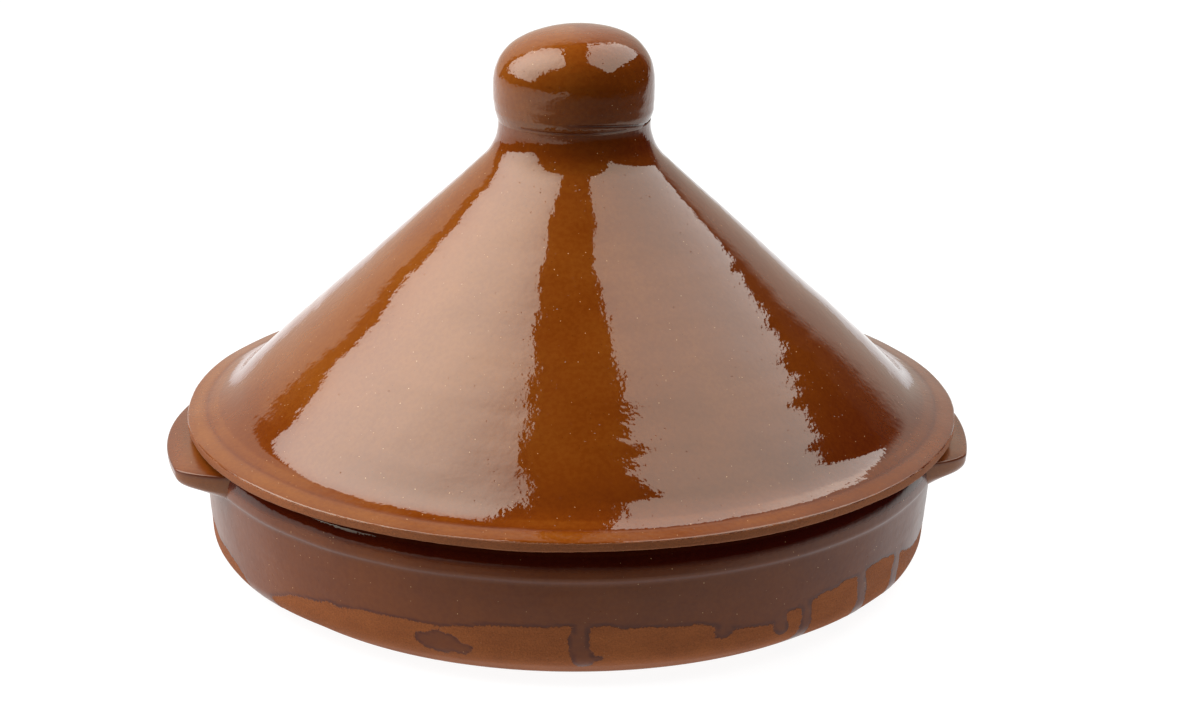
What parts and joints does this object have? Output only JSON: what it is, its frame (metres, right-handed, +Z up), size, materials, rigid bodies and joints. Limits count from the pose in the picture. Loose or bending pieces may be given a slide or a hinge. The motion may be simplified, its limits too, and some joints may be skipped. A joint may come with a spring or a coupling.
{
  "type": "tagine pot",
  "caption": "Glazed terracotta cooking pot: a shallow round dish with shelf lugs, and a conical lid with a flat brim and a rounded knob that lifts off",
  "frame": {"origin": "centre of the dish's flat base, on the surface it stands on", "axes": "+Z up along the axis everything is turned about, +X along the line of the two lugs, -Y towards the viewer"},
  "size_m": [0.2922, 0.28, 0.1955],
  "materials": {
    "dish_glaze": "dark red-brown gloss glaze running down over bare terracotta",
    "lid_glaze": "honey amber transparent gloss glaze over red clay"
  },
  "bodies": {
    "dish": {"dish": "dish_glaze", "lug_left": "dish_glaze", "lug_right": "dish_glaze"},
    "lid": {"lid_cone": "lid_glaze", "knob": "lid_glaze"}
  },
  "joints": [
    {"name": "lid_lift", "type": "slide", "parent": "dish", "child": "lid", "axis": [0, 0, 1], "range_m": [0, 0.12]}
  ]
}
